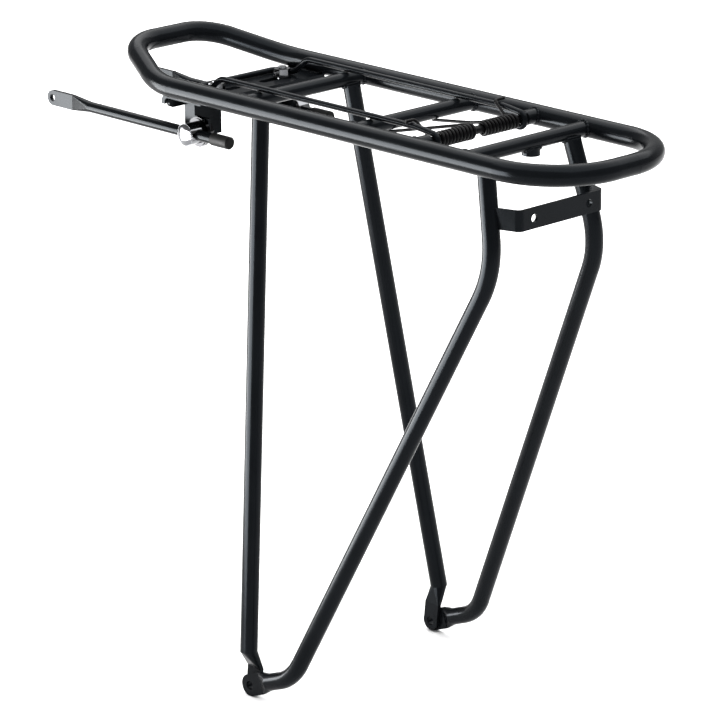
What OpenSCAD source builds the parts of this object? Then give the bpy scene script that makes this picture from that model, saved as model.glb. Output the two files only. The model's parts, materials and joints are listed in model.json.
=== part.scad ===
// Bicycle rear rack: a tube deck on four legs, with a sprung luggage clip and two adjustable stays.
// Millimetres. +X is forward, +Y is left, +Z is up; the origin is midway between the foot bolts.

/* [Deck loop] */
// Height of the deck tube centres above the foot bolts
deck_z = 393.4; // [370:0.2:420]
// Width between the centres of the two side tubes
deck_w = 118; // [106:1:130]
// Diameter of the loop tube
loop_d = 14; // [13:0.5:15]
// Distance from the foot bolts back to the rear bar
rear_reach = 254.9; // [248:0.1:266]
// Radius of the two rear corners
rear_corner_r = 50; // [40:1:52]
// Distance from the foot bolts forward to the point where the nose starts to taper
taper_x = 116.7; // [113:0.1:121]
// Radius of the bend into the taper
taper_r = 65; // [55:1:80]
// Distance from the foot bolts forward to the nose bar
nose_reach = 172.5; // [168:0.1:183]
// Width between the corner points of the nose
nose_w = 67.8; // [64:0.2:72]
// Rise of the nose bar above the deck
nose_rise = 14.6; // [8:0.2:20]
// Radius of the two nose corners
nose_corner_r = 31; // [24:1:33]

/* [Crossbars] */
// Diameter of the three crossbars
bar_d = 10; // [9:0.5:11]
// Place of the front crossbar along the deck
front_bar_x = 35.6; // [27:0.1:41]
// Place of the middle crossbar along the deck
middle_bar_x = -69.9; // [-77:0.1:-63]
// Place of the rear crossbar along the deck
rear_bar_x = -170.9; // [-177:0.1:-165]

/* [Legs] */
// Diameter of the four legs
leg_d = 12; // [11:0.5:13]
// Width between the two planes where the flattened feet meet
foot_w = 172; // [166:1:180]
// How far the front legs meet their crossbar inside the side tubes
front_leg_inset = 18; // [16:0.2:22]
// How far the tops of the front legs lie behind their crossbar
front_leg_back = 2.6; // [1.6:0.1:2.8]
// How far the rear legs meet their crossbar inside the side tubes
rear_leg_inset = 20.1; // [17:0.2:24]
// Height at which a front leg starts to flatten
shin_z = 25; // [23:0.5:30]
// How far a front leg stands behind the foot bolt at that height
shin_back = 1.4; // [0:0.1:3]
// How far a front leg stands outside the foot plane at that height
shin_out = 4.5; // [3.5:0.1:5.5]
// Drop from the deck to the upper bend of a rear leg
knee_drop = 71.7; // [66:0.5:78]
// How far the upper bend lies behind the rear crossbar
knee_back = 18.9; // [15:0.2:24]
// How far the upper bend lies outside the top of the leg
knee_out = 9.3; // [7:0.1:11]
// Radius of the upper bend
knee_r = 60; // [45:1:62]
// Distance from the foot bolt back to the lower bend of a rear leg
ankle_back = 41.7; // [40:0.1:48]
// Slope of a rear foot, rising to the rear
ankle_pitch = 21.3; // [19:0.1:23]
// Radius of the lower bend
ankle_r = 33; // [26:1:34]
// Thickness of a flattened foot
tab_t = 3; // [2.5:0.1:3.5]
// Width of the flattened feet of the rear legs
tab_w = 15.5; // [14:0.1:17]
// Width of the flattened feet of the front legs
front_tab_w = 13; // [12.4:0.1:15]
// Length of a flattened foot from its hole to where it starts to swell
tab_len = 12.5; // [12:0.1:14]
// Length over which a rear foot swells to the tube
neck_len = 7.5; // [6:0.1:9]
// Diameter of the foot bolt holes
foot_hole_d = 6.4; // [5.2:0.1:8.2]

/* [Clip] */
// Diameter of the clip wire
wire_d = 4; // [3.6:0.1:4.4]
// How far the clip arms lie inside the side tubes
arm_inset = 19.4; // [19:0.1:20.4]
// Place of the hinge along the deck
hinge_x = -126.7; // [-132:0.1:-120]
// Height of the hinge above the deck tube centres
hinge_lift = 0.7; // [0.2:0.1:1.4]
// Diameter of the hinge rod
rod_d = 5.6; // [5:0.1:5.8]
// Diameter of the bosses that hold the rod
hinge_boss_d = 10; // [9:0.2:11]
// Sweep of the open eye that each arm makes round the rod
eye_sweep = 240; // [200:5:260]
// Distance from the hinge to where the arms level out
arm_level = 14; // [12:0.5:15]
// Place where the arms bend down to the front plate
clip_bend_x = 74.6; // [73:0.1:76]
// Length over which the arms come down to the plate
clip_drop_run = 12.4; // [11:0.1:13]
// Place of the clip's cross wire
clip_end_x = 103.1; // [102.6:0.1:105]
// Radius of the bends where the arms turn down
clip_r = 12; // [9:0.5:12]
// Radius of the clip's two front corners
clip_corner_r = 10; // [7:0.5:10]

/* [Springs] */
// Diameter of the spring wire
spring_wire_d = 2.2; // [2:0.1:2.3]
// Outside diameter of the coil
spring_d = 10.8; // [10.6:0.1:11.6]
// Distance from one curl to the next
spring_pitch = 3.1; // [3:0.05:3.2]
// Least distance from the middle of the rack to the end of a coil
spring_start = 4.4; // [4:0.1:5]
// Distance from the hinge to the hook over the arm
hook_reach = 19.3; // [18.5:0.1:24]
// Distance from the middle of the rack to where a spring bears on the crossbar
bear_y = 21; // [14:0.5:26]

/* [Front plate] */
// Thickness of the plate
plate_t = 3; // [2.5:0.1:3.5]
// Rear edge of the plate
plate_rear_x = 75.6; // [73:0.1:78]
// Front face of the turned-down edge
plate_front_x = 115.1; // [114:0.1:117]
// Depth of the turned-down edge
lip_h = 11.2; // [10:0.1:13]
// How far the turned-down edge ends inside the side tube centres
lip_inset = 6.5; // [5:0.5:10]
// Radius of the turned-down edge's lower corners
lip_corner_r = 3.5; // [2:0.1:5]
// Radius of the plate's front bend at mid thickness
lip_r = 4.5; // [3:0.1:6]
// Width of the two adjusting slots
slot_w = 6.6; // [6.5:0.1:7]
// Distance from the middle of the rack to the inner end of a slot
slot_in = 9.5; // [7:0.5:12]

/* [Hangers] */
// Place of the slots and of the bolts in them
slot_x = 89.3; // [88:0.1:90.4]
// How far a hanger's bolt lies inside the side tubes
hanger_inset = 29; // [28.6:0.2:31]
// How far a hanger's outer face lies inside the side tubes
hanger_face = 19; // [18.8:0.1:20]
// Width of a hanger
hanger_w = 24.2; // [22:0.2:25]
// Thickness of the hanger sheet
hanger_t = 2; // [1.6:0.1:2.2]
// Rear face of a hanger's web
web_x = 101; // [100.6:0.1:102]
// Depth of a hanger's outer flange in front of its web
flange_w = 10.1; // [9:0.1:11]
// Distance from the web back to the bolt that holds the stay
eye_back = 5.9; // [5.9:0.1:6.6]
// Depth of a hanger below the plate to the bolt that holds the stay
hang_depth = 23.5; // [22:0.5:28]
// Radius of a hanger's rounded ear
ear_r = 8; // [7.6:0.1:9]
// Diameter of the bolts
bolt_d = 6; // [5.6:0.1:6.1]
// Width of bolt heads and nuts across their flats
hex_w = 10; // [9:0.1:10.2]
// Height of a nut
nut_h = 5; // [4:0.1:5.2]

/* [Stays] */
// Diameter of a stay rod
stay_d = 7.5; // [6.5:0.1:7.8]
// How far the stay rods lie inside the side tubes
stay_inset = 11; // [9:0.1:11.4]
// Rear end of the left stay
stay_rear_x = 56.2; // [53:0.1:60]
// Length of a stay from its rear end to the centre of its eye
stay_len = 183.9; // [160:0.1:240]
// How much further forward the right stay is set
stay_shift = 4; // [0:0.5:10]
// Height of a stay's flattened end
stay_tab_w = 10.6; // [10:0.1:12]
// Thickness of a stay's flattened end
stay_tab_t = 3; // [2.5:0.1:3.5]
// Diameter of a stay's eye
stay_hole_d = 5.2; // [4.2:0.1:6.2]
// Length of the end cap
cap_len = 17; // [14:0.5:20]
// Wall of the end cap
cap_t = 0.6; // [0.5:0.1:1]
// Diameter of the eye bolt's barrel
barrel_d = 15.2; // [14.8:0.1:16]
// Height of the barrel's domed end
dome_h = 2.2; // [1.6:0.1:3]
// How far the barrel's rim stands outside the stay's centre line
rim_out = 6.2; // [5.6:0.1:6.8]
// Diameter of the cup washer
cup_d = 20.6; // [19:0.2:21]

/* [Light bracket] */
// Height of the bracket strip
strip_h = 13.8; // [12:0.2:16]
// Thickness of the bracket strip
strip_t = 2; // [1.6:0.1:2.5]
// Drop from the deck to the middle of the strip
strip_drop = 38.1; // [35:0.1:41]
// Distance from the rear crossbar back to the middle of the strip
strip_back = 31; // [29:0.5:34]
// Distance between the two light holes
light_pitch = 50; // [44:1:54]
// Diameter of the light holes
light_hole_d = 5.5; // [4.5:0.1:6.5]
// Diameter of the threaded boss for a mudguard
boss_d = 12; // [11:0.5:13]
// Depth of the boss below the deck tube centres
boss_drop = 8.4; // [8:0.1:11]
// How far the boss stands to the right of the middle
boss_right = 4.6; // [0:0.1:8]
// Diameter of the boss hole
boss_hole_d = 5; // [4:0.1:6]

/* [Clearances] */
// Radial clearance of turning and sliding fits
run_gap = 0.08; // [0.04:0.01:0.1]
// Space between flat faces that slide
face_gap = 0.1; // [0.05:0.01:0.2]
// Space between a wire and what it lies on
lie_gap = 0.35; // [0.3:0.05:0.5]
// Part to draw

/* [Hidden] */

paint = [0.07, 0.07, 0.075];
chrome = [0.80, 0.81, 0.83];
oiled = [0.13, 0.13, 0.14];
plastic = [0.03, 0.03, 0.03];

tube_fn = 28;
bend_fn = 48;
// A bend swells its tube by this much, and the straights run this far into it
bulge = 0.05;
lap = 0.5;
// A flattened neck starts and ends this far inside the tube and the tab that it joins
inset = 0.06;
// A foot is this much narrower on each side, and thinner in all, than the round eye at its end
edge = 0.1;

half_w = deck_w / 2;
half_foot = foot_w / 2;

// Corners of the closed loop, from the left rear corner round the nose to the right rear corner
loop_left = [
    [-rear_reach, half_w, deck_z],
    [taper_x, half_w, deck_z],
    [nose_reach, nose_w / 2, deck_z + nose_rise]
];
loop_path = concat(loop_left, other_side(loop_left));
loop_radii = [rear_corner_r, taper_r, nose_corner_r, nose_corner_r, taper_r, rear_corner_r];

// Left legs, from the crossbar down
front_top = [front_bar_x - front_leg_back, half_w - front_leg_inset, deck_z];
front_shin = [-shin_back, half_foot + shin_out, shin_z];
rear_top = [rear_bar_x - 2, half_w - rear_leg_inset, deck_z];
rear_knee = rear_top + [2 - knee_back, knee_out, -knee_drop];
rear_ankle = [-ankle_back, half_foot + tab_t / 2, ankle_back * tan(ankle_pitch)];
rear_eye = [0, half_foot + tab_t / 2, 0];
flat_len = tab_len + neck_len;
rear_flat = rear_eye + unit(rear_ankle - rear_eye) * flat_len;
// The leg tops wrap the crossbar this far below its centre
leg_top_z = deck_z - bar_d * 0.3;

// Clip and hinge
hinge_z = deck_z + hinge_lift;
arm_y = half_w - arm_inset;
eye_r = rod_d / 2 + run_gap + wire_d / 2 + bulge;
arm_z = deck_z + bar_d / 2 + lie_gap + wire_d / 2;
// Where an arm leaves its eye, as an angle round the hinge from straight ahead
level_at = [arm_level, arm_z - hinge_z];
eye_from = atan2(level_at[1], level_at[0]) + acos(eye_r / norm(level_at));
plate_top = deck_z - loop_d / 2 + 1;
clip_end_z = plate_top + lie_gap + wire_d / 2;
boss_in = arm_y + wire_d / 2 + 2.5;
rod_end = boss_in + 7;

// Hangers and stays
hanger_y = half_w - hanger_inset;
stay_y = half_w - stay_inset;
plate_low = plate_top - plate_t;
hanger_top = plate_low - face_gap;
hang_z = hanger_top - hang_depth;
hanger_out = half_w - hanger_face;
hanger_in = hanger_out - hanger_w;
hang_x = web_x - eye_back;
nut_out = hanger_out - hanger_t - face_gap;
slot_out = hanger_y + bolt_d / 2 + 0.8;
tab_rear = slot_x - 8.5;
washer_d = 2 * bolt_d;
washer_t = 1.2;
rod_in = stay_y - stay_d / 2;
cup_out = rod_in - cap_t - lie_gap;
cup_in = hanger_out + face_gap;
tip_y = nut_out - nut_h - 0.9;

// Spring path
coil_r = (spring_d - spring_wire_d) / 2;
hook_z = arm_z + wire_d / 2 + lie_gap + spring_wire_d / 2;
hook_y = arm_y - wire_d / 2 - 0.5 - spring_wire_d / 2;
bear_z = deck_z - bar_d / 2 - lie_gap - spring_wire_d / 2;
hook_at = [hook_reach, hook_z - hinge_z];
bear_at = [middle_bar_x - hinge_x, bear_z - hinge_z];
hook_slope = atan2(hook_at[1], hook_at[0]) + asin(coil_r / norm(hook_at));
bear_slope = atan2(bear_at[1], bear_at[0]) - asin(coil_r / norm(bear_at));
coil_from = hook_slope - 90;
part_turn = (coil_from - bear_slope - 90) / 360;
coil_out = hook_y - 1.3;
whole_turns = floor((coil_out - spring_start) / spring_pitch - part_turn);
coil_turns = whole_turns + part_turn;
coil_to = coil_from - 360 * coil_turns;
coil_in = coil_out - coil_turns * spring_pitch;
coil_steps = ceil(coil_turns * 8);

function unit(v) = v / norm(v);

// The points p mirrored to the right side, last one first
function other_side(p) = [for (i = [len(p) - 1 : -1 : 0]) [p[i][0], -p[i][1], p[i][2]]];

// Corner i of a path, counted round its ends
function corner(p, i) = p[(i + len(p)) % len(p)];

// Length that the bend at corner i takes off the straight stretches beside it
function trim(p, r, i) =
    r[i] == 0 ? 0 :
    r[i] * tan(acos(unit(p[i] - corner(p, i - 1)) * unit(corner(p, i + 1) - p[i])) / 2);

// Puts children in a frame with its origin at o and its first two axes along x and y
module on_frame(o, x, y) {
    z = cross(x, y);
    multmatrix([
        [x[0], y[0], z[0], o[0]],
        [x[1], y[1], z[1], o[1]],
        [x[2], y[2], z[2], o[2]],
        [0, 0, 0, 1]
    ])
        children();
}

// Round bar from point a to point b
module rod(a, b, d) {
    v = b - a;
    translate(a)
        rotate([0, acos(v[2] / norm(v)), atan2(v[1], v[0])])
            cylinder(h = norm(v), d = d, $fn = tube_fn);
}

// Round bar along Y from y0 to y1 at x, z
module pin(x, z, y0, y1, d) {
    translate([x, y0, z])
        rotate([-90, 0, 0])
            cylinder(h = y1 - y0, d = d, $fn = tube_fn);
}

// The flat outline in children, swept round corner b of the path a, b, c
module bend(a, b, c, r) {
    u = unit(b - a);
    w = unit(c - b);
    turn = acos(u * w);
    inward = unit(w - u * (u * w));
    start = b - u * r * tan(turn / 2);
    on_frame(start + inward * r, -inward, u)
        rotate_extrude(angle = turn, $fn = bend_fn)
            translate([r, 0])
                children();
}

// Tube along the corners p with bend radii r; the straights run a little way into the bends
module bent_tube(p, r, d, closed = false) {
    n = len(p);
    for (i = [0 : n - (closed ? 1 : 2)]) {
        j = (i + 1) % n;
        u = unit(p[j] - p[i]);
        a = p[i] + u * (trim(p, r, i) - (r[i] > 0 ? lap : 0));
        b = p[j] - u * (trim(p, r, j) - (r[j] > 0 ? lap : 0));
        rod(a, b, d);
    }
    for (i = [0 : n - 1])
        if (r[i] > 0)
            bend(corner(p, i - 1), p[i], corner(p, i + 1), r[i])
                circle(d = d + 2 * bulge, $fn = tube_fn);
}

// Sheet of height h standing on the plan path p, with bend radii r at mid thickness
module sheet(p, r, t, h) {
    for (i = [0 : len(p) - 2]) {
        u = unit(p[i + 1] - p[i]);
        a = p[i] + u * (trim(p, r, i) - (r[i] > 0 ? lap : 0));
        b = p[i + 1] - u * (trim(p, r, i + 1) - (r[i + 1] > 0 ? lap : 0));
        translate(a)
            rotate([0, 0, atan2(u[1], u[0])])
                translate([0, -t / 2, -h / 2])
                    cube([norm(b - a), t, h]);
    }
    for (i = [1 : len(p) - 2])
        bend(p[i - 1], p[i], p[i + 1], r[i])
            square([t + 2 * bulge, h + 2 * bulge], center = true);
}

// Hexagon prism along Z with a flat facing +X
module hexagon(w, h) {
    rotate([0, 0, 30])
        cylinder(h = h, d = w / cos(30), $fn = 6);
}

// Six-sided wire along the points of a path
module wire(path, d, up) {
    n = len(path);
    sides = 6;
    along = [for (i = [0 : n - 1]) unit(path[min(i + 1, n - 1)] - path[max(i - 1, 0)])];
    across = [
        for (i = 0, v = square_to(up, along[0]); i < n;
             i = i + 1, v = i < n ? square_to(v, along[i]) : v) v
    ];
    points = [
        for (i = [0 : n - 1], k = [0 : sides - 1])
            path[i] + d / 2 * (cos(60 * k) * across[i] + sin(60 * k) * cross(along[i], across[i]))
    ];
    skin = [
        for (i = [0 : n - 2], k = [0 : sides - 1], half = [0, 1])
            half == 0
                ? [i * sides + k, (i + 1) * sides + k, (i + 1) * sides + (k + 1) % sides]
                : [i * sides + k, (i + 1) * sides + (k + 1) % sides, i * sides + (k + 1) % sides]
    ];
    first = [for (k = [0 : sides - 1]) k];
    last = [for (k = [0 : sides - 1]) n * sides - 1 - k];
    polyhedron(points = points, faces = concat([first], skin, [last]), convexity = 10);
}
function square_to(v, t) = unit(v - t * (v * t));

// Least space between parts of a wire that are half a curl or more apart
function least_gap(path, d) =
    min([for (i = [0 : len(path) - 6], j = [i + 5 : len(path) - 1]) norm(path[i] - path[j])]) - d;

module mirrored() {
    mirror([0, 1, 0])
        children();
}

module loop_shape() {
    bent_tube(loop_path, loop_radii, loop_d, closed = true);
}

// The straight stretch of the two side tubes, used to cope what is welded between them
module side_tubes() {
    for (y = [-half_w, half_w])
        rod([rear_corner_r - rear_reach, y, deck_z], [taper_x - taper_r / 3, y, deck_z], loop_d);
}

module crossbar_at(x) {
    rod([x, -half_w, deck_z], [x, half_w, deck_z], bar_d);
}

module crossbar(x) {
    color(paint)
        difference() {
            crossbar_at(x);
            side_tubes();
        }
}

module loop_tube() {
    color(paint)
        loop_shape();
}

module front_crossbar() {
    crossbar(front_bar_x);
}

module middle_crossbar() {
    crossbar(middle_bar_x);
}

module rear_crossbar() {
    crossbar(rear_bar_x);
}

// Takes off the top of a leg so that it cups the underside of its crossbar
module leg_cope(x) {
    crossbar_at(x);
    translate([x - 30, 0, leg_top_z])
        cube([60, deck_w, 30]);
}

module foot_hole() {
    pin(0, 0, half_foot - 2 * tab_t, half_foot + 2 * tab_t, foot_hole_d);
}

// Stretch of a front leg's flat foot, which leans back from the foot hole; slim takes a little off its faces
module front_tab(from, length, slim) {
    rotate([0, -atan2(shin_back, tab_len), 0])
        translate([slim + edge - front_tab_w / 2, half_foot - tab_t + slim + edge / 2, from])
            cube([front_tab_w - 2 * edge - 2 * slim, tab_t - edge - 2 * slim, length]);
}

module front_leg() {
    down = unit(front_shin - front_top);
    color(paint)
        difference() {
            union() {
                rod(front_top, front_shin, leg_d);
                hull() {
                    rod(front_shin - down, front_shin - down * 0.3, leg_d - 2 * inset);
                    front_tab(tab_len, 0.9, inset);
                }
                front_tab(0, tab_len + 1, 0);
                pin(0, 0, half_foot - tab_t, half_foot, front_tab_w);
            }
            leg_cope(front_bar_x);
            foot_hole();
        }
}

module rear_leg_tube() {
    bent_tube([rear_top, rear_knee, rear_ankle, rear_flat], [0, knee_r, ankle_r, 0], leg_d);
}

module rear_leg() {
    along = unit(rear_eye - rear_ankle);
    color(paint)
        difference() {
            union() {
                rear_leg_tube();
                hull() {
                    rod(rear_flat - along, rear_flat - along * 0.3, leg_d - 2 * inset);
                    rotate([0, ankle_pitch, 0])
                        translate([0.1 - tab_len, half_foot + edge / 2 + inset, edge + inset - tab_w / 2])
                            cube([0.9, tab_t - edge - 2 * inset, tab_w - 2 * edge - 2 * inset]);
                }
                rotate([0, ankle_pitch, 0])
                    translate([-tab_len, half_foot + edge / 2, edge - tab_w / 2])
                        cube([tab_len, tab_t - edge, tab_w - 2 * edge]);
                pin(0, 0, half_foot, half_foot + tab_t, tab_w);
            }
            leg_cope(rear_bar_x);
            foot_hole();
        }
}

module left_front_leg() {
    front_leg();
}

module right_front_leg() {
    mirrored()
        front_leg();
}

module left_rear_leg() {
    rear_leg();
}

module right_rear_leg() {
    mirrored()
        rear_leg();
}

// Plate with a turned-down front edge, its ends cut to the loop tubes
module front_plate() {
    mid_z = plate_top - plate_t / 2;
    lip_x = plate_front_x - plate_t / 2;
    lip_z = plate_top - lip_h;
    lip_end = half_w - lip_inset;
    color(paint)
        difference() {
            on_frame([0, 0, 0], [1, 0, 0], [0, 0, 1])
                sheet(
                    [[plate_rear_x, mid_z, 0], [lip_x, mid_z, 0], [lip_x, lip_z, 0]],
                    [0, lip_r, 0], plate_t, deck_w - 4
                );
            loop_shape();
            for (side = [-1, 1]) {
                for (y = [slot_in + slot_w / 2, slot_out - slot_w / 2])
                    translate([slot_x, side * y, plate_low - 1])
                        cylinder(h = plate_t + 2, d = slot_w, $fn = tube_fn);
                translate([slot_x, side * (slot_in + slot_out) / 2, plate_top - plate_t / 2])
                    cube([slot_w, slot_out - slot_in - slot_w, plate_t + 2], center = true);
                // The lip is narrower than the plate and has round lower corners
                translate([plate_front_x, side * (lip_end + 10), lip_z])
                    cube([2 * plate_t + 2, 20, 2 * (lip_h - plate_t - lip_r)], center = true);
                translate([plate_front_x, side * lip_end, lip_z])
                    difference() {
                        cube([2 * plate_t + 2, 2 * lip_corner_r, 2 * lip_corner_r], center = true);
                        translate([0, -side * lip_corner_r, lip_corner_r])
                            rotate([0, 90, 0])
                                cylinder(h = 4 * plate_t, r = lip_corner_r, center = true, $fn = tube_fn);
                    }
            }
        }
}

module light_bracket() {
    strip_x = rear_bar_x - strip_back;
    leg_dir = unit(rear_knee - rear_top);
    leg_at = rear_top - leg_dir * (strip_drop / leg_dir[2]);
    corner_y = leg_at[1] - 6.4;
    left = [
        [leg_at[0], leg_at[1], 0],
        [strip_x, corner_y, 0]
    ];
    color(paint)
        difference() {
            translate([0, 0, deck_z - strip_drop])
                sheet(concat(left, other_side(left)), [0, 4, 4, 0], strip_t, strip_h);
            rod(rear_top, rear_knee, leg_d);
            mirrored()
                rod(rear_top, rear_knee, leg_d);
            for (y = [-light_pitch / 2, light_pitch / 2])
                translate([strip_x, y, deck_z - strip_drop])
                    rotate([0, 90, 0])
                        cylinder(h = 4 * strip_t, d = light_hole_d, center = true, $fn = tube_fn);
        }
}

module mudguard_boss() {
    color(paint)
        difference() {
            translate([rear_bar_x, -boss_right, deck_z - boss_drop])
                cylinder(h = boss_drop - bar_d * 0.3, d = boss_d, $fn = tube_fn);
            crossbar_at(rear_bar_x);
            translate([rear_bar_x, -boss_right, deck_z - boss_drop - 1])
                cylinder(h = boss_drop - bar_d / 2 + 0.5, d = boss_hole_d, $fn = tube_fn);
        }
}

// Short boss on the inside of the left side tube with a blind bore for the hinge rod
module hinge_boss() {
    color(paint)
        difference() {
            pin(hinge_x, hinge_z, boss_in, half_w - loop_d * 0.3, hinge_boss_d);
            side_tubes();
            pin(hinge_x, hinge_z, boss_in - 1, rod_end + 0.1, rod_d + 0.1);
        }
}

module left_hinge_boss() {
    hinge_boss();
}

module right_hinge_boss() {
    mirrored()
        hinge_boss();
}

module hinge_rod() {
    color(oiled)
        pin(hinge_x, hinge_z, -rod_end, rod_end, rod_d);
}

// One wire bent to a U, with an open eye round the hinge rod at each end
module clip_frame() {
    round = [cos(eye_from), 0, sin(eye_from)];
    onward = [-sin(eye_from), 0, cos(eye_from)];
    left = [
        [hinge_x, arm_y, hinge_z] + round * eye_r + onward * lap,
        [hinge_x + arm_level, arm_y, arm_z],
        [clip_bend_x, arm_y, arm_z],
        [clip_bend_x + clip_drop_run, arm_y, clip_end_z],
        [clip_end_x, arm_y, clip_end_z]
    ];
    radii = [0, 2 * clip_r, clip_r, clip_r, clip_corner_r];
    color(paint) {
        bent_tube(
            concat(left, other_side(left)),
            concat(radii, [for (i = [4 : -1 : 0]) radii[i]]), wire_d
        );
        for (y = [-arm_y, arm_y])
            on_frame([hinge_x, y, hinge_z], round, onward)
                rotate_extrude(angle = eye_sweep, $fn = bend_fn)
                    translate([eye_r, 0])
                        circle(d = wire_d + 2 * bulge, $fn = tube_fn);
    }
}

// Left torsion spring: a hook over the clip arm, the coil, and a leg under the middle crossbar
module spring() {
    hook_dir = [cos(hook_slope), 0, sin(hook_slope)];
    bear_dir = [cos(bear_slope), 0, sin(bear_slope)];
    corner = [hinge_x + hook_reach, hook_y, hook_z];
    rounding = 3;
    hook = [
        corner + [0, rounding + 6, 0],
        corner + [0, rounding + 3.6, 0],
        corner + [0, rounding, 0],
        corner + [0, rounding * 0.25, 0] - hook_dir * rounding * 0.25,
        corner - hook_dir * rounding
    ];
    coil = [
        for (i = [0 : coil_steps])
            let (f = i / coil_steps, a = coil_from + (coil_to - coil_from) * f)
                [
                    hinge_x + coil_r * cos(a),
                    coil_out + (coil_in - coil_out) * f,
                    hinge_z + coil_r * sin(a)
                ]
    ];
    leave = coil[coil_steps];
    bear = [middle_bar_x, bear_y, bear_z];
    clear_of_coil = leave + bear_dir * 10 + [0, 0.4, 0];
    last = bear + unit(bear - clear_of_coil) * 6;
    leg = [leave + bear_dir * 5, clear_of_coil, bear, last];
    path = concat(hook, coil, leg);
    echo(str("spring: least gap ", least_gap(path, spring_wire_d), " mm over ", coil_turns, " turns"));
    color(oiled)
        wire(path, spring_wire_d, [0, 0, 1]);
}

module left_spring() {
    spring();
}

module right_spring() {
    mirrored()
        spring();
}

// Folded sheet under the plate: a slotted-bolt tab, a web, and an outer flange with an ear for the eye bolt
module hanger() {
    fold_r = hanger_t;
    mid = hanger_t / 2;
    foot_z = hang_z - ear_r;
    flange_h = hanger_top - hanger_t - foot_z;
    color(paint)
        difference() {
            union() {
                // Tab and web
                translate([0, (hanger_in + hanger_out) / 2, 0])
                    on_frame([0, 0, 0], [1, 0, 0], [0, 0, 1])
                        sheet(
                            [[tab_rear, hanger_top - mid, 0], [web_x + mid, hanger_top - mid, 0],
                             [web_x + mid, foot_z + 2, 0]],
                            [0, fold_r, 0], hanger_t, hanger_w
                        );
                // Flange in front of the web's outer edge
                translate([web_x + mid, hanger_out - hanger_t, foot_z])
                    cube([flange_w - mid, hanger_t, flange_h]);
                // Ear that reaches back from the flange
                translate([hang_x, hanger_out - hanger_t, foot_z])
                    cube([web_x + hanger_t - hang_x, hanger_t, 2 * ear_r + 2]);
                translate([hang_x - ear_r, hanger_out - hanger_t, hang_z])
                    cube([ear_r + 1, hanger_t, ear_r + 2]);
                pin(hang_x, hang_z, hanger_out - hanger_t, hanger_out, 2 * ear_r);
            }
            translate([slot_x, hanger_y, hanger_top - 2 * hanger_t])
                cylinder(h = 3 * hanger_t, d = bolt_d + 0.6, $fn = tube_fn);
            pin(hang_x, hang_z, hanger_out - 2 * hanger_t, hanger_out + 1, bolt_d + 2 * run_gap);
        }
}

module hanger_bolt() {
    head_h = 4;
    head_z = hanger_top - hanger_t - head_h;
    tip_z = plate_top + face_gap + washer_t + nut_h + 1.5;
    color(chrome)
        translate([slot_x, hanger_y, head_z]) {
            hexagon(hex_w, head_h);
            cylinder(h = tip_z - head_z, d = bolt_d, $fn = tube_fn);
        }
}

module hanger_washer() {
    color(chrome)
        translate([slot_x, hanger_y, plate_top + face_gap])
            difference() {
                cylinder(h = washer_t, d = washer_d, $fn = tube_fn);
                translate([0, 0, -1])
                    cylinder(h = washer_t + 2, d = bolt_d + 0.3, $fn = tube_fn);
            }
}

// Nut along Z with chamfered corners
module nut() {
    difference() {
        intersection() {
            rotate([0, 0, 30])
                hexagon(hex_w, nut_h);
            translate([0, 0, nut_h / 2])
                sphere(d = norm([hex_w * 1.1, nut_h]), $fn = bend_fn);
        }
        translate([0, 0, -1])
            cylinder(h = nut_h + 2, d = bolt_d + 0.1, $fn = tube_fn);
    }
}

module hanger_nut() {
    color(chrome)
        translate([slot_x, hanger_y, plate_top + face_gap + washer_t])
            nut();
}

// Domed barrel with a cross hole for the stay and a shank through the hanger's ear
module eye_bolt() {
    rim_y = stay_y + rim_out;
    ball_r = (barrel_d * barrel_d / 4 + dome_h * dome_h) / (2 * dome_h);
    color(chrome)
        difference() {
            union() {
                pin(hang_x, hang_z, cup_out, rim_y, barrel_d);
                intersection() {
                    translate([hang_x, rim_y + dome_h - ball_r, hang_z])
                        sphere(r = ball_r, $fn = bend_fn);
                    pin(hang_x, hang_z, rim_y - 0.1, rim_y + dome_h + 1, barrel_d - 2 * bulge);
                }
                pin(hang_x, hang_z, tip_y, cup_out + 0.1, bolt_d);
            }
            rod(
                [hang_x - barrel_d, stay_y, hang_z],
                [hang_x + barrel_d, stay_y, hang_z],
                stay_d + 2 * run_gap
            );
        }
}

module cup_washer() {
    color(chrome)
        difference() {
            union() {
                pin(hang_x, hang_z, cup_in, cup_out - 0.8, cup_d);
                pin(hang_x, hang_z, cup_in, cup_out, cup_d - 2);
            }
            pin(hang_x, hang_z, cup_in - 1, cup_out + 1, bolt_d + 0.3);
        }
}

module clamp_nut() {
    color(chrome)
        translate([hang_x, nut_out - nut_h, hang_z])
            rotate([-90, 0, 0])
                nut();
}

// Stay rod with a flattened eye at its front end
module stay(shift) {
    rear = stay_rear_x + shift + 1.5;
    eye = stay_rear_x + shift + stay_len;
    swell = eye - 39;
    flat = eye - 22;
    color(paint)
        translate([0, stay_y, hang_z])
            difference() {
                union() {
                    rod([rear, 0, 0], [swell, 0, 0], stay_d);
                    hull() {
                        rod([swell - 1, 0, 0], [swell, 0, 0], stay_d - 2 * inset);
                        translate([flat + 0.5, 0, 0])
                            cube([1, stay_tab_t - 2 * inset, stay_tab_w - 2 * inset], center = true);
                    }
                    translate([flat, -stay_tab_t / 2, -stay_tab_w / 2])
                        cube([eye - flat, stay_tab_t, stay_tab_w]);
                    pin(eye, 0, -stay_tab_t / 2, stay_tab_t / 2, stay_tab_w);
                }
                pin(eye, 0, -stay_tab_t, stay_tab_t, stay_hole_d);
            }
}

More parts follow.
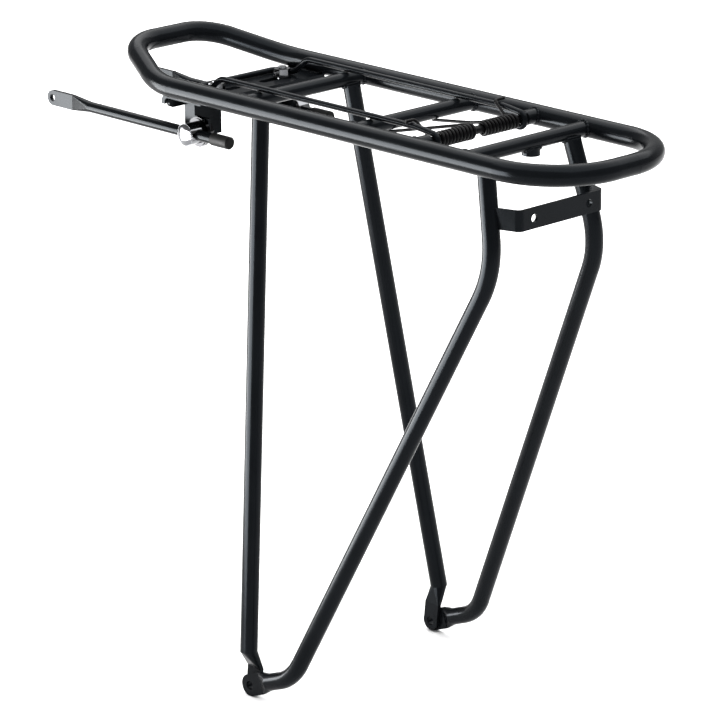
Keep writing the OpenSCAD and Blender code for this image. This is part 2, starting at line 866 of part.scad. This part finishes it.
// Push-on cap with a rounded rear end
module stay_cap(shift) {
    cap_d = stay_d + 2 * cap_t;
    color(plastic)
        translate([stay_rear_x + shift, stay_y, hang_z])
            rotate([0, 90, 0])
                difference() {
                    union() {
                        translate([0, 0, 1])
                            cylinder(h = cap_len - 1, d = cap_d, $fn = tube_fn);
                        cylinder(h = 1, d1 = cap_d - 2, d2 = cap_d, $fn = tube_fn);
                    }
                    translate([0, 0, 1.5])
                        cylinder(h = cap_len, d = stay_d + 0.04, $fn = tube_fn);
                }
}

module left_hanger() {
    hanger();
}

module right_hanger() {
    mirrored()
        hanger();
}

module left_hanger_bolt() {
    hanger_bolt();
}

module right_hanger_bolt() {
    mirrored()
        hanger_bolt();
}

module left_hanger_washer() {
    hanger_washer();
}

module right_hanger_washer() {
    mirrored()
        hanger_washer();
}

module left_hanger_nut() {
    hanger_nut();
}

module right_hanger_nut() {
    mirrored()
        hanger_nut();
}

module left_eye_bolt() {
    eye_bolt();
}

module right_eye_bolt() {
    mirrored()
        eye_bolt();
}

module left_cup_washer() {
    cup_washer();
}

module right_cup_washer() {
    mirrored()
        cup_washer();
}

module left_clamp_nut() {
    clamp_nut();
}

module right_clamp_nut() {
    mirrored()
        clamp_nut();
}

module left_stay() {
    stay(0);
}

module right_stay() {
    mirrored()
        stay(stay_shift);
}

module left_stay_cap() {
    stay_cap(0);
}

module right_stay_cap() {
    mirrored()
        stay_cap(stay_shift);
}

loop_tube();
front_crossbar();
middle_crossbar();
rear_crossbar();
left_front_leg();
right_front_leg();
left_rear_leg();
right_rear_leg();
front_plate();
light_bracket();
mudguard_boss();
left_hinge_boss();
right_hinge_boss();
hinge_rod();
clip_frame();
left_spring();
right_spring();
left_hanger();
right_hanger();
left_hanger_bolt();
right_hanger_bolt();
left_hanger_washer();
right_hanger_washer();
left_hanger_nut();
right_hanger_nut();
left_eye_bolt();
right_eye_bolt();
left_cup_washer();
right_cup_washer();
left_clamp_nut();
right_clamp_nut();
left_stay();
right_stay();
left_stay_cap();
right_stay_cap();
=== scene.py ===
import json
import math

import bpy
from mathutils import Matrix, Vector


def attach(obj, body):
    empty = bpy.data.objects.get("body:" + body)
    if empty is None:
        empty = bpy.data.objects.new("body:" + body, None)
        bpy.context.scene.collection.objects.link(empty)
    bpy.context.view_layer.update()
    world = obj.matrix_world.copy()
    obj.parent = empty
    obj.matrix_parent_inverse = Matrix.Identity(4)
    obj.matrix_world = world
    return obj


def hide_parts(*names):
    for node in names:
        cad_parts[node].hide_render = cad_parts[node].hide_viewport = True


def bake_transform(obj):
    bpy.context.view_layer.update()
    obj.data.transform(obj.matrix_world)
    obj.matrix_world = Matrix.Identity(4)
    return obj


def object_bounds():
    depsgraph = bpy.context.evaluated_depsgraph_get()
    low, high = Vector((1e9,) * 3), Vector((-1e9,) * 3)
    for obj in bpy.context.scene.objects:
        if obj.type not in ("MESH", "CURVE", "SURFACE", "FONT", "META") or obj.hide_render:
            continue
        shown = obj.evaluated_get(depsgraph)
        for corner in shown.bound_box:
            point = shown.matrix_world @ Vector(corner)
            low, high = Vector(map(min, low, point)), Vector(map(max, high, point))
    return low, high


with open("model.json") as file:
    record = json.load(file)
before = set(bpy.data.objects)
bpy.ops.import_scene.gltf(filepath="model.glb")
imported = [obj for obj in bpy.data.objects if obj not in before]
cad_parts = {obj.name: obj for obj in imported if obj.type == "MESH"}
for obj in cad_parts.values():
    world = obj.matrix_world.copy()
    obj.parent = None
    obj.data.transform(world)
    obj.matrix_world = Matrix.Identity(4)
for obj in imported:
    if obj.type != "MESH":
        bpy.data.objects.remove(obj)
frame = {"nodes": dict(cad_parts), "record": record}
cadLow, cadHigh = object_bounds()
scene = bpy.context.scene
mm = 0.001
bothSides = {"left": 1, "right": -1}  # sign of y on each side
print("rack loaded:", len(frame["nodes"]), "nodes")

# camera, fitted to the photograph's own perspective
cameraSettings = {
    "azimuth": 226.33,
    "elevation": 17.46,
    "roll": -0.39,
    "distance": 2.76,
    "target": (-0.0066, -0.0101, 0.2105),
    "lens": 203.85,
    "sensorWidth": 36,
    "clipEnd": 60,
}


def makeCamera(s):
    azimuth, elevation, roll = (math.radians(s[k]) for k in ("azimuth", "elevation", "roll"))
    back = Vector((math.sin(azimuth) * math.cos(elevation),
                   -math.cos(azimuth) * math.cos(elevation),
                   math.sin(elevation)))
    right = (-back).cross(Vector((0, 0, 1))).normalized()
    up = right.cross(-back)
    across = right * math.cos(roll) + up * math.sin(roll)
    upright = up * math.cos(roll) - right * math.sin(roll)
    data = bpy.data.cameras.new("photoCamera")
    data.lens = s["lens"]
    data.sensor_width = s["sensorWidth"]
    data.clip_end = s["clipEnd"]
    camera = bpy.data.objects.new("photoCamera", data)
    scene.collection.objects.link(camera)
    axes = Matrix((across, upright, back)).transposed().to_4x4()
    camera.matrix_world = Matrix.Translation(Vector(s["target"]) + back * s["distance"]) @ axes
    scene.camera = camera


makeCamera(cameraSettings)
print("camera set")

# white floor and surroundings, with two soft boxes
stageSettings = {
    "floorSize": 30.0,
    "floorColour": (0.93, 0.93, 0.93, 1),
    "floorRoughness": 0.9,
    "floorSpecular": 0.0,  # matt, so that no sheen lies on it
    "worldColour": (1, 1, 1, 1),
    "worldStrength": 1.2,
    "viewTransform": "Standard",
    "exposure": -1.35,
    "aim": (-0.02, 0.0, 0.4),
    # a box that lights no matt surface only draws the sheen along the tubes
    "softBoxes": {
        "lowBox": {"place": (0.42, 0.62, 0.24), "across": 0.9, "tall": 0.5,
                   "power": 130, "lightsMatt": False},
        "topBox": {"place": (0.2, -0.7, 3.6), "across": 7.0, "tall": 7.0,
                   "power": 1500, "lightsMatt": True},
    },
}


def makeFloor(s):
    half = s["floorSize"] / 2
    mesh = bpy.data.meshes.new("floor")
    corners = [(-half, -half), (half, -half), (half, half), (-half, half)]
    mesh.from_pydata([(x, y, cadLow.z) for x, y in corners], [], [(0, 1, 2, 3)])
    floor = bpy.data.objects.new("floor", mesh)
    scene.collection.objects.link(floor)
    paper = bpy.data.materials.new("floorPaper")
    paper.use_nodes = True
    shader = paper.node_tree.nodes["Principled BSDF"]
    shader.inputs["Base Color"].default_value = s["floorColour"]
    shader.inputs["Roughness"].default_value = s["floorRoughness"]
    shader.inputs["Specular IOR Level"].default_value = s["floorSpecular"]
    mesh.materials.append(paper)


def makeLight(s):
    world = bpy.data.worlds.new("studio")
    world.use_nodes = True
    background = world.node_tree.nodes["Background"]
    background.inputs["Color"].default_value = s["worldColour"]
    background.inputs["Strength"].default_value = s["worldStrength"]
    scene.world = world
    scene.view_settings.view_transform = s["viewTransform"]
    scene.view_settings.exposure = s["exposure"]
    for name, box in s["softBoxes"].items():
        light = bpy.data.lights.new(name, "AREA")
        light.shape = "RECTANGLE"
        light.size = box["across"]
        light.size_y = box["tall"]
        light.energy = box["power"]
        lamp = bpy.data.objects.new(name, light)
        scene.collection.objects.link(lamp)
        lamp.location = box["place"]
        lamp.rotation_mode = "QUATERNION"
        aim = Vector(s["aim"]) - Vector(box["place"])
        lamp.rotation_quaternion = aim.to_track_quat("-Z", "Y")
        lamp.visible_camera = False
        lamp.visible_diffuse = box["lightsMatt"]


makeFloor(stageSettings)
makeLight(stageSettings)
print("stage set")

# fine grain and slow clouds over a surface, as a colour, a roughness and a height
grainSettings = {
    "grainDetail": 2,
    "cloudDetail": 4,
    "cloudLow": 0.3,
    "cloudHigh": 0.7,
    "bumpDistance": 0.2,  # mm
}


def makeGrainGroup(s):
    group = bpy.data.node_groups.new("surfaceGrain", "ShaderNodeTree")
    for name, kind in (("Dark", "NodeSocketColor"), ("Light", "NodeSocketColor"),
                       ("Rough Low", "NodeSocketFloat"), ("Rough High", "NodeSocketFloat"),
                       ("Grain Scale", "NodeSocketFloat"), ("Cloud Scale", "NodeSocketFloat")):
        group.interface.new_socket(name, in_out="INPUT", socket_type=kind)
    for name, kind in (("Color", "NodeSocketColor"), ("Roughness", "NodeSocketFloat"),
                       ("Height", "NodeSocketFloat")):
        group.interface.new_socket(name, in_out="OUTPUT", socket_type=kind)
    nodes, links = group.nodes, group.links
    inputs = nodes.new("NodeGroupInput")
    outputs = nodes.new("NodeGroupOutput")
    coords = nodes.new("ShaderNodeTexCoord")
    grain = nodes.new("ShaderNodeTexNoise")
    grain.inputs["Detail"].default_value = s["grainDetail"]
    clouds = nodes.new("ShaderNodeTexNoise")
    clouds.inputs["Detail"].default_value = s["cloudDetail"]
    mixed = nodes.new("ShaderNodeMix")
    mixed.data_type = "RGBA"
    rough = nodes.new("ShaderNodeMapRange")
    rough.inputs["From Min"].default_value = s["cloudLow"]
    rough.inputs["From Max"].default_value = s["cloudHigh"]
    for noise, scale in ((grain, "Grain Scale"), (clouds, "Cloud Scale")):
        links.new(coords.outputs["Object"], noise.inputs["Vector"])
        links.new(inputs.outputs[scale], noise.inputs["Scale"])
    links.new(clouds.outputs["Fac"], mixed.inputs["Factor"])
    links.new(inputs.outputs["Dark"], mixed.inputs["A"])
    links.new(inputs.outputs["Light"], mixed.inputs["B"])
    links.new(clouds.outputs["Fac"], rough.inputs["Value"])
    links.new(inputs.outputs["Rough Low"], rough.inputs["To Min"])
    links.new(inputs.outputs["Rough High"], rough.inputs["To Max"])
    links.new(mixed.outputs["Result"], outputs.inputs["Color"])
    links.new(rough.outputs["Result"], outputs.inputs["Roughness"])
    links.new(grain.outputs["Fac"], outputs.inputs["Height"])
    return group


finishSettings = {
    "blackPaint": {"dark": (0.0025, 0.0029, 0.0035, 1), "light": (0.005, 0.0058, 0.007, 1),
                   "rough": (0.18, 0.26), "grain": 900, "cloud": 40, "bump": 0.03,
                   "metallic": 0.0, "specular": 0.05, "tint": (0.8, 0.9, 1.0, 1)},
    "brightChrome": {"dark": (0.12, 0.122, 0.13, 1), "light": (0.19, 0.193, 0.2, 1),
                     "rough": (0.08, 0.18), "grain": 1500, "cloud": 120, "bump": 0.02,
                     "metallic": 1.0, "specular": 0.5, "tint": (1, 1, 1, 1)},
    # chrome with its colour darkened to near-black: painted shade for the dark surroundings these pieces
    # reflect
    "chromeWithPaintedShade": {"dark": (0.006, 0.006, 0.0065, 1), "light": (0.015, 0.015, 0.016, 1),
                     "rough": (0.1, 0.2), "grain": 1500, "cloud": 120, "bump": 0.02,
                     "metallic": 1.0, "specular": 0.5, "tint": (1, 1, 1, 1)},
    "springSteel": {"dark": (0.002, 0.002, 0.0023, 1), "light": (0.005, 0.005, 0.0055, 1),
                    "rough": (0.28, 0.42), "grain": 1800, "cloud": 160, "bump": 0.04,
                    "metallic": 0.0, "specular": 0.06, "tint": (1, 1, 1, 1)},
    "capRubber": {"dark": (0.004, 0.004, 0.004, 1), "light": (0.008, 0.008, 0.008, 1),
                  "rough": (0.5, 0.66), "grain": 2600, "cloud": 200, "bump": 0.12,
                  "metallic": 0.0, "specular": 0.08, "tint": (1, 1, 1, 1)},
}
slotFinish = {"black_paint": "blackPaint", "chrome": "brightChrome",
              "oiled_steel": "springSteel", "black_rubber": "capRubber"}
paintedShadePieces = ("cup_washer", "clamp_nut")  # in the chrome slot, but given the near-black chrome copy: painted shade, not a finish of their own


def makeFinish(name, s, grainGroup):
    material = bpy.data.materials.new(name)
    material.use_nodes = True
    nodes, links = material.node_tree.nodes, material.node_tree.links
    shader = nodes["Principled BSDF"]
    grain = nodes.new("ShaderNodeGroup")
    grain.node_tree = grainGroup
    grain.inputs["Dark"].default_value = s["dark"]
    grain.inputs["Light"].default_value = s["light"]
    grain.inputs["Rough Low"].default_value, grain.inputs["Rough High"].default_value = s["rough"]
    grain.inputs["Grain Scale"].default_value = s["grain"]
    grain.inputs["Cloud Scale"].default_value = s["cloud"]
    bump = nodes.new("ShaderNodeBump")
    bump.inputs["Strength"].default_value = s["bump"]
    bump.inputs["Distance"].default_value = grainSettings["bumpDistance"] * mm
    links.new(grain.outputs["Color"], shader.inputs["Base Color"])
    links.new(grain.outputs["Roughness"], shader.inputs["Roughness"])
    links.new(grain.outputs["Height"], bump.inputs["Height"])
    links.new(bump.outputs["Normal"], shader.inputs["Normal"])
    shader.inputs["Metallic"].default_value = s["metallic"]
    shader.inputs["Specular IOR Level"].default_value = s["specular"]
    shader.inputs["Specular Tint"].default_value = s["tint"]
    return material


grainGroup = makeGrainGroup(grainSettings)
finishes = {name: makeFinish(name, s, grainGroup) for name, s in finishSettings.items()}
for row in frame["record"]["subparts"]:
    # the pieces listed above take the darkened chrome copy, which is painted shade
    takesPaintedShade = row["node"].endswith(paintedShadePieces)
    finish = "chromeWithPaintedShade" if takesPaintedShade else slotFinish[row["material_slot"]]
    node = frame["nodes"][row["node"]]
    node.data.materials.clear()
    node.data.materials.append(finishes[finish])


# one tree turns paths into round wire, with ripples where it is a weld bead
def makeSweepTree():
    tree = bpy.data.node_groups.new("sweptWire", "GeometryNodeTree")
    for name, kind in (("Geometry", "NodeSocketGeometry"), ("Radius", "NodeSocketFloat"),
                       ("Ripple", "NodeSocketFloat"), ("Ripple Length", "NodeSocketFloat"),
                       ("Step", "NodeSocketFloat"), ("Sides", "NodeSocketInt"),
                       ("Material", "NodeSocketMaterial")):
        tree.interface.new_socket(name, in_out="INPUT", socket_type=kind)
    tree.interface.new_socket("Geometry", in_out="OUTPUT", socket_type="NodeSocketGeometry")
    nodes, links = tree.nodes, tree.links
    inputs = nodes.new("NodeGroupInput")
    outputs = nodes.new("NodeGroupOutput")

    def mathNode(kind, a, b=None):
        step = nodes.new("ShaderNodeMath")
        step.operation = kind
        for socket, value in zip(step.inputs, (a, b)):
            if isinstance(value, (int, float)):
                socket.default_value = value
            elif value is not None:
                links.new(value, socket)
        return step.outputs["Value"]

    paths = nodes.new("GeometryNodeMeshToCurve")
    even = nodes.new("GeometryNodeResampleCurve")
    even.mode = "LENGTH"
    along = nodes.new("GeometryNodeSplineParameter")
    cycles = mathNode("DIVIDE", along.outputs["Length"], inputs.outputs["Ripple Length"])
    waves = mathNode("SINE", mathNode("MULTIPLY", cycles, math.tau))
    swell = mathNode("ADD", mathNode("MULTIPLY", waves, inputs.outputs["Ripple"]), 1.0)
    circle = nodes.new("GeometryNodeCurvePrimitiveCircle")
    circle.inputs["Radius"].default_value = 1.0  # scaled to the wire's radius below
    skin = nodes.new("GeometryNodeCurveToMesh")
    skin.inputs["Fill Caps"].default_value = True
    smooth = nodes.new("GeometryNodeSetShadeSmooth")
    realized = nodes.new("GeometryNodeRealizeInstances")
    painted = nodes.new("GeometryNodeSetMaterial")
    links.new(inputs.outputs["Geometry"], paths.inputs["Mesh"])
    links.new(paths.outputs["Curve"], even.inputs["Curve"])
    links.new(inputs.outputs["Step"], even.inputs["Length"])
    links.new(inputs.outputs["Sides"], circle.inputs["Resolution"])
    links.new(even.outputs["Curve"], skin.inputs["Curve"])
    links.new(circle.outputs["Curve"], skin.inputs["Profile Curve"])
    links.new(mathNode("MULTIPLY", swell, inputs.outputs["Radius"]), skin.inputs["Scale"])
    links.new(skin.outputs["Mesh"], smooth.inputs["Geometry"])
    links.new(smooth.outputs["Geometry"], realized.inputs["Geometry"])
    links.new(realized.outputs["Geometry"], painted.inputs["Geometry"])
    links.new(inputs.outputs["Material"], painted.inputs["Material"])
    links.new(painted.outputs["Geometry"], outputs.inputs["Geometry"])
    return tree


sweepTree = makeSweepTree()
ringTolerance = 1e-6  # mm between the ends of a path that closes


def sweepPaths(name, paths, s, body):
    # paths are lists of points in mm; one that ends where it starts becomes a ring
    points, edges = [], []
    for path in paths:
        ring = (Vector(path[0]) - Vector(path[-1])).length < ringTolerance
        first = len(points)
        count = len(path) - 1 if ring else len(path)
        points += [Vector(p) * mm for p in path[:count]]
        edges += [(first + i, first + (i + 1) % count) for i in range(count if ring else count - 1)]
    mesh = bpy.data.meshes.new(name + "Paths")
    mesh.from_pydata(points, edges, [])
    piece = bpy.data.objects.new(name, mesh)
    scene.collection.objects.link(piece)
    sweep = piece.modifiers.new("sweptWire", "NODES")
    sweep.node_group = sweepTree
    values = {"Radius": s["radius"] * mm, "Step": s["step"] * mm, "Sides": s["sides"],
              "Ripple": s["ripple"], "Ripple Length": s["rippleLength"] * mm,
              "Material": finishes[s["finish"]]}
    for item in sweepTree.interface.items_tree:
        if item.in_out == "INPUT" and item.name in values:
            sweep[item.identifier] = values[item.name]
    bpy.context.view_layer.update()
    swept = piece.evaluated_get(bpy.context.evaluated_depsgraph_get())
    solid = bpy.data.meshes.new_from_object(swept)
    solid.name = name
    piece.modifiers.clear()
    piece.data = solid
    bpy.data.meshes.remove(mesh)
    if body:
        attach(piece, body)
    return piece


# the rack's main sizes, in mm
rackSizes = {
    "deckZ": 393.4, "halfWidth": 59.0, "loopRadius": 7.0,
    "barRadius": 5.0, "barX": {"front": 35.6, "middle": -69.9, "rear": -170.9},
    "hingeX": -126.7, "hingeZ": 394.1, "hingeBossRadius": 5.0,
}


def innerFace(height):
    # how far from the middle a side tube's inner face lies, at a height above its centre line
    return rackSizes["halfWidth"] - math.sqrt(rackSizes["loopRadius"] ** 2 - height ** 2)


# torsion springs of the clip: hook over the arm, close coil, leg to the middle crossbar
springSettings = {
    "radius": 1.1, "ripple": 0.0, "rippleLength": 1.0, "step": 0.45, "sides": 14, "finish": "springSteel",
    "coilRadius": 4.3, "pitch": 3.1, "coilStart": 4.4, "coilEnd": 34.7, "stepsPerTurn": 40,
    "hook": (-107.4, 36.0, 404.2), "hookRounding": 3.0, "hookSteps": 8, "hookTail": 9.0,
    "bear": (rackSizes["barX"]["middle"], 21.0, 386.95),  # where the leg presses under the crossbar
    "legStraight": 5, "legClear": 10, "legShift": 0.4, "legEnd": 6.0,
    "twistReach": (-7.1, 20.7),  # back and out from the coil's inner end, from frame to clip
}


def springPath(s, side):
    hingeX, hingeZ = rackSizes["hingeX"], rackSizes["hingeZ"]
    hookX, hookZ = s["hook"][0] - hingeX, s["hook"][2] - hingeZ
    bearX, bearZ = s["bear"][0] - hingeX, s["bear"][2] - hingeZ
    hookSlope = math.atan2(hookZ, hookX) + math.asin(s["coilRadius"] / math.hypot(hookX, hookZ))
    bearSlope = math.atan2(bearZ, bearX) - math.asin(s["coilRadius"] / math.hypot(bearX, bearZ))
    coilFrom = hookSlope - math.pi / 2
    partTurn = (coilFrom - bearSlope - math.pi / 2) / math.tau
    turns = math.floor((s["coilEnd"] - s["coilStart"]) / s["pitch"] - partTurn) + partTurn
    corner, rounding = Vector(s["hook"]), s["hookRounding"]
    intoHook = Vector((math.cos(hookSlope), 0, math.sin(hookSlope)))
    path = [corner + Vector((0, s["hookTail"], 0))]
    for i in range(s["hookSteps"] + 1):
        f = i / s["hookSteps"]
        path.append(corner + Vector((0, rounding * (1 - f) ** 2, 0)) - intoHook * (rounding * f ** 2))
    steps = round(turns * s["stepsPerTurn"])
    for i in range(steps + 1):
        f = i / steps
        angle = coilFrom - math.tau * turns * f
        path.append(Vector((hingeX + s["coilRadius"] * math.cos(angle),
                            s["coilEnd"] - turns * s["pitch"] * f,
                            hingeZ + s["coilRadius"] * math.sin(angle))))
    leave = path[-1]
    intoLeg = Vector((math.cos(bearSlope), 0, math.sin(bearSlope)))
    clear = leave + intoLeg * s["legClear"] + Vector((0, s["legShift"], 0))
    bear = Vector(s["bear"])
    tip = bear + (bear - clear).normalized() * s["legEnd"]
    path += [leave + intoLeg * s["legStraight"], clear, bear, tip]
    return [Vector((p.x, side * p.y, p.z)) for p in path], leave.y


for sideName, side in bothSides.items():
    path, coilInner = springPath(springSettings, side)
    spring = sweepPaths(sideName + "SpringWire", [path], springSettings, None)
    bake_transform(spring)
    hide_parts(sideName + "_spring")
print("springs wound")

# weld beads where tubes, bosses and plate meet
weldSettings = {
    "radius": 1.35, "ripple": 0.13, "rippleLength": 1.9, "step": 0.4, "sides": 10, "finish": "blackPaint",
    "ringSteps": 48, "saddleSteps": 24,
    "saddleReach": 0.8,  # of the bar's radius
}
bossWeldSettings = dict(weldSettings, radius=1.0, rippleLength=1.6)
# legs and mudguard boss under the crossbars: top of the centre line, its lean per mm down, radius
saddleSettings = [
    {"bar": "front", "top": (33.0, 41.0), "lean": (-0.0934, 0.1344), "radius": 6.0, "onSides": (1, -1)},
    {"bar": "rear", "top": (-172.9, 38.9), "lean": (-0.2357, 0.1297), "radius": 6.0, "onSides": (1, -1)},
    {"bar": "rear", "top": (-170.9, -4.6), "lean": (0.0, 0.0), "radius": 6.0, "onSides": (1,)},
]
plateWeldSettings = {"from": 77.5, "to": 97.0, "height": -5.7}  # height from the loop's centre line


def ringOnTube(x, z, radius, side):
    # where a bar of that radius, square to a side tube, meets the tube
    steps = weldSettings["ringSteps"]
    ring = []
    for i in range(steps + 1):
        turn = math.tau * (i % steps) / steps
        up = z + radius * math.sin(turn) - rackSizes["deckZ"]
        ring.append((x + radius * math.cos(turn), side * innerFace(up), rackSizes["deckZ"] + up))
    return ring


def saddleUnderBar(s, side):
    # the line on which a leg's top cups the underside of its crossbar
    barRadius, deckZ = rackSizes["barRadius"], rackSizes["deckZ"]
    barX = rackSizes["barX"][s["bar"]]
    reach = weldSettings["saddleReach"] * barRadius
    steps = weldSettings["saddleSteps"]
    outer, inner = [], []
    for i in range(steps + 1):
        across = -reach + 2 * reach * i / steps
        drop = math.sqrt(barRadius ** 2 - across ** 2)
        centreX = s["top"][0] + s["lean"][0] * drop
        centreY = s["top"][1] + s["lean"][1] * drop
        off = barX + across - centreX
        if abs(off) >= s["radius"]:
            continue
        half = math.sqrt(s["radius"] ** 2 - off ** 2)
        outer.append((barX + across, side * (centreY + half), deckZ - drop))
        inner.append((barX + across, side * (centreY - half), deckZ - drop))
    return outer + inner[::-1] + outer[:1]


tubeWelds, bossWelds = [], []
for side in bothSides.values():
    for barX in rackSizes["barX"].values():
        tubeWelds.append(ringOnTube(barX, rackSizes["deckZ"], rackSizes["barRadius"], side))
    bossWelds.append(ringOnTube(rackSizes["hingeX"], rackSizes["hingeZ"], rackSizes["hingeBossRadius"], side))
    edge = side * innerFace(plateWeldSettings["height"])
    tubeWelds.append([(plateWeldSettings[end], edge, rackSizes["deckZ"] + plateWeldSettings["height"])
                      for end in ("from", "to")])
for s in saddleSettings:
    for side in s["onSides"]:
        tubeWelds.append(saddleUnderBar(s, side))
sweepPaths("tubeWelds", tubeWelds, weldSettings, "frame")
sweepPaths("bossWelds", bossWelds, bossWeldSettings, "frame")
print("welds laid:", len(tubeWelds) + len(bossWelds))

# thread ridges on the free ends of the bolts
threadSettings = {
    "radius": 0.32, "ripple": 0.0, "rippleLength": 1.0, "step": 0.3, "sides": 8, "finish": "brightChrome",
    "boltRadius": 2.78, "pitch": 0.7, "stepsPerTurn": 28,
}
# from the nut's face to the bolt's tip: start, direction, free length
threadPlaces = {
    "HangerThread": {"start": (89.3, 30.0, 393.75), "axis": (0, 0, 1), "free": 1.3, "body": "hanger"},
    "ClampThread": {"start": (95.1, 32.85, 360.8), "axis": (0, -1, 0), "free": 0.7, "body": "clamp"},
}


def threadPath(s, place, side):
    axis = Vector(place["axis"])
    first = axis.orthogonal().normalized()
    second = axis.cross(first)
    turns = place["free"] / s["pitch"]
    steps = math.ceil(turns * s["stepsPerTurn"])
    path = []
    for i in range(steps + 1):
        angle = math.tau * turns * i / steps
        p = (Vector(place["start"]) + axis * (place["free"] * i / steps)
             + (first * math.cos(angle) + second * math.sin(angle)) * s["boltRadius"])
        path.append((p.x, side * p.y, p.z))
    return path


for sideName, side in bothSides.items():
    for name, place in threadPlaces.items():
        sweepPaths(sideName + name, [threadPath(threadSettings, place, side)],
                   threadSettings, sideName + "_" + place["body"])
print("threads cut")
